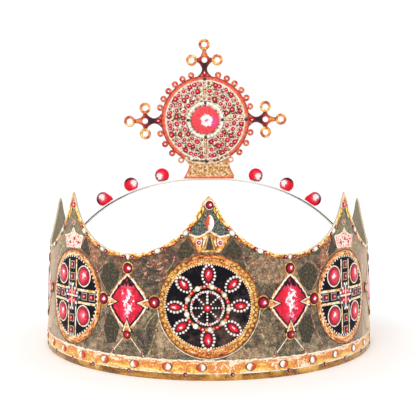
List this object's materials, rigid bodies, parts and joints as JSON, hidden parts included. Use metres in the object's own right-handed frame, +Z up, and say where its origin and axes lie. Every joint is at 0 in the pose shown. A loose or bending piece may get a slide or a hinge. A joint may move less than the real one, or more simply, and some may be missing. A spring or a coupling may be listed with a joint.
{
  "type": "paper crown",
  "caption": "Dress-up crown of printed card: a peaked panel rolled round the head, a plain back strap, and a thin arch over the top with gem tabs and a pierced round finial.",
  "frame": {"origin": "on the surface the crown rests on, at the centre of its ring", "axes": "+Z up; the crown's front, with the middle peak, faces -Y; the arch runs from side to side along X"},
  "size_m": [0.19, 0.1889, 0.1795],
  "materials": {
    "printed_card": "satin",
    "plain_board": "matte",
    "strip_card": "matte",
    "gem_tab_card": "satin",
    "finial_card": "satin"
  },
  "bodies": {
    "root": {"front_band": "printed_card", "back_strap": "plain_board", "arch_strip": "strip_card", "arch_gem_left_1": "gem_tab_card", "arch_gem_left_2": "gem_tab_card", "arch_gem_left_3": "gem_tab_card", "arch_gem_right_1": "gem_tab_card", "arch_gem_right_2": "gem_tab_card", "arch_gem_right_3": "gem_tab_card", "finial_disc": "finial_card"}
  },
  "joints": []
}
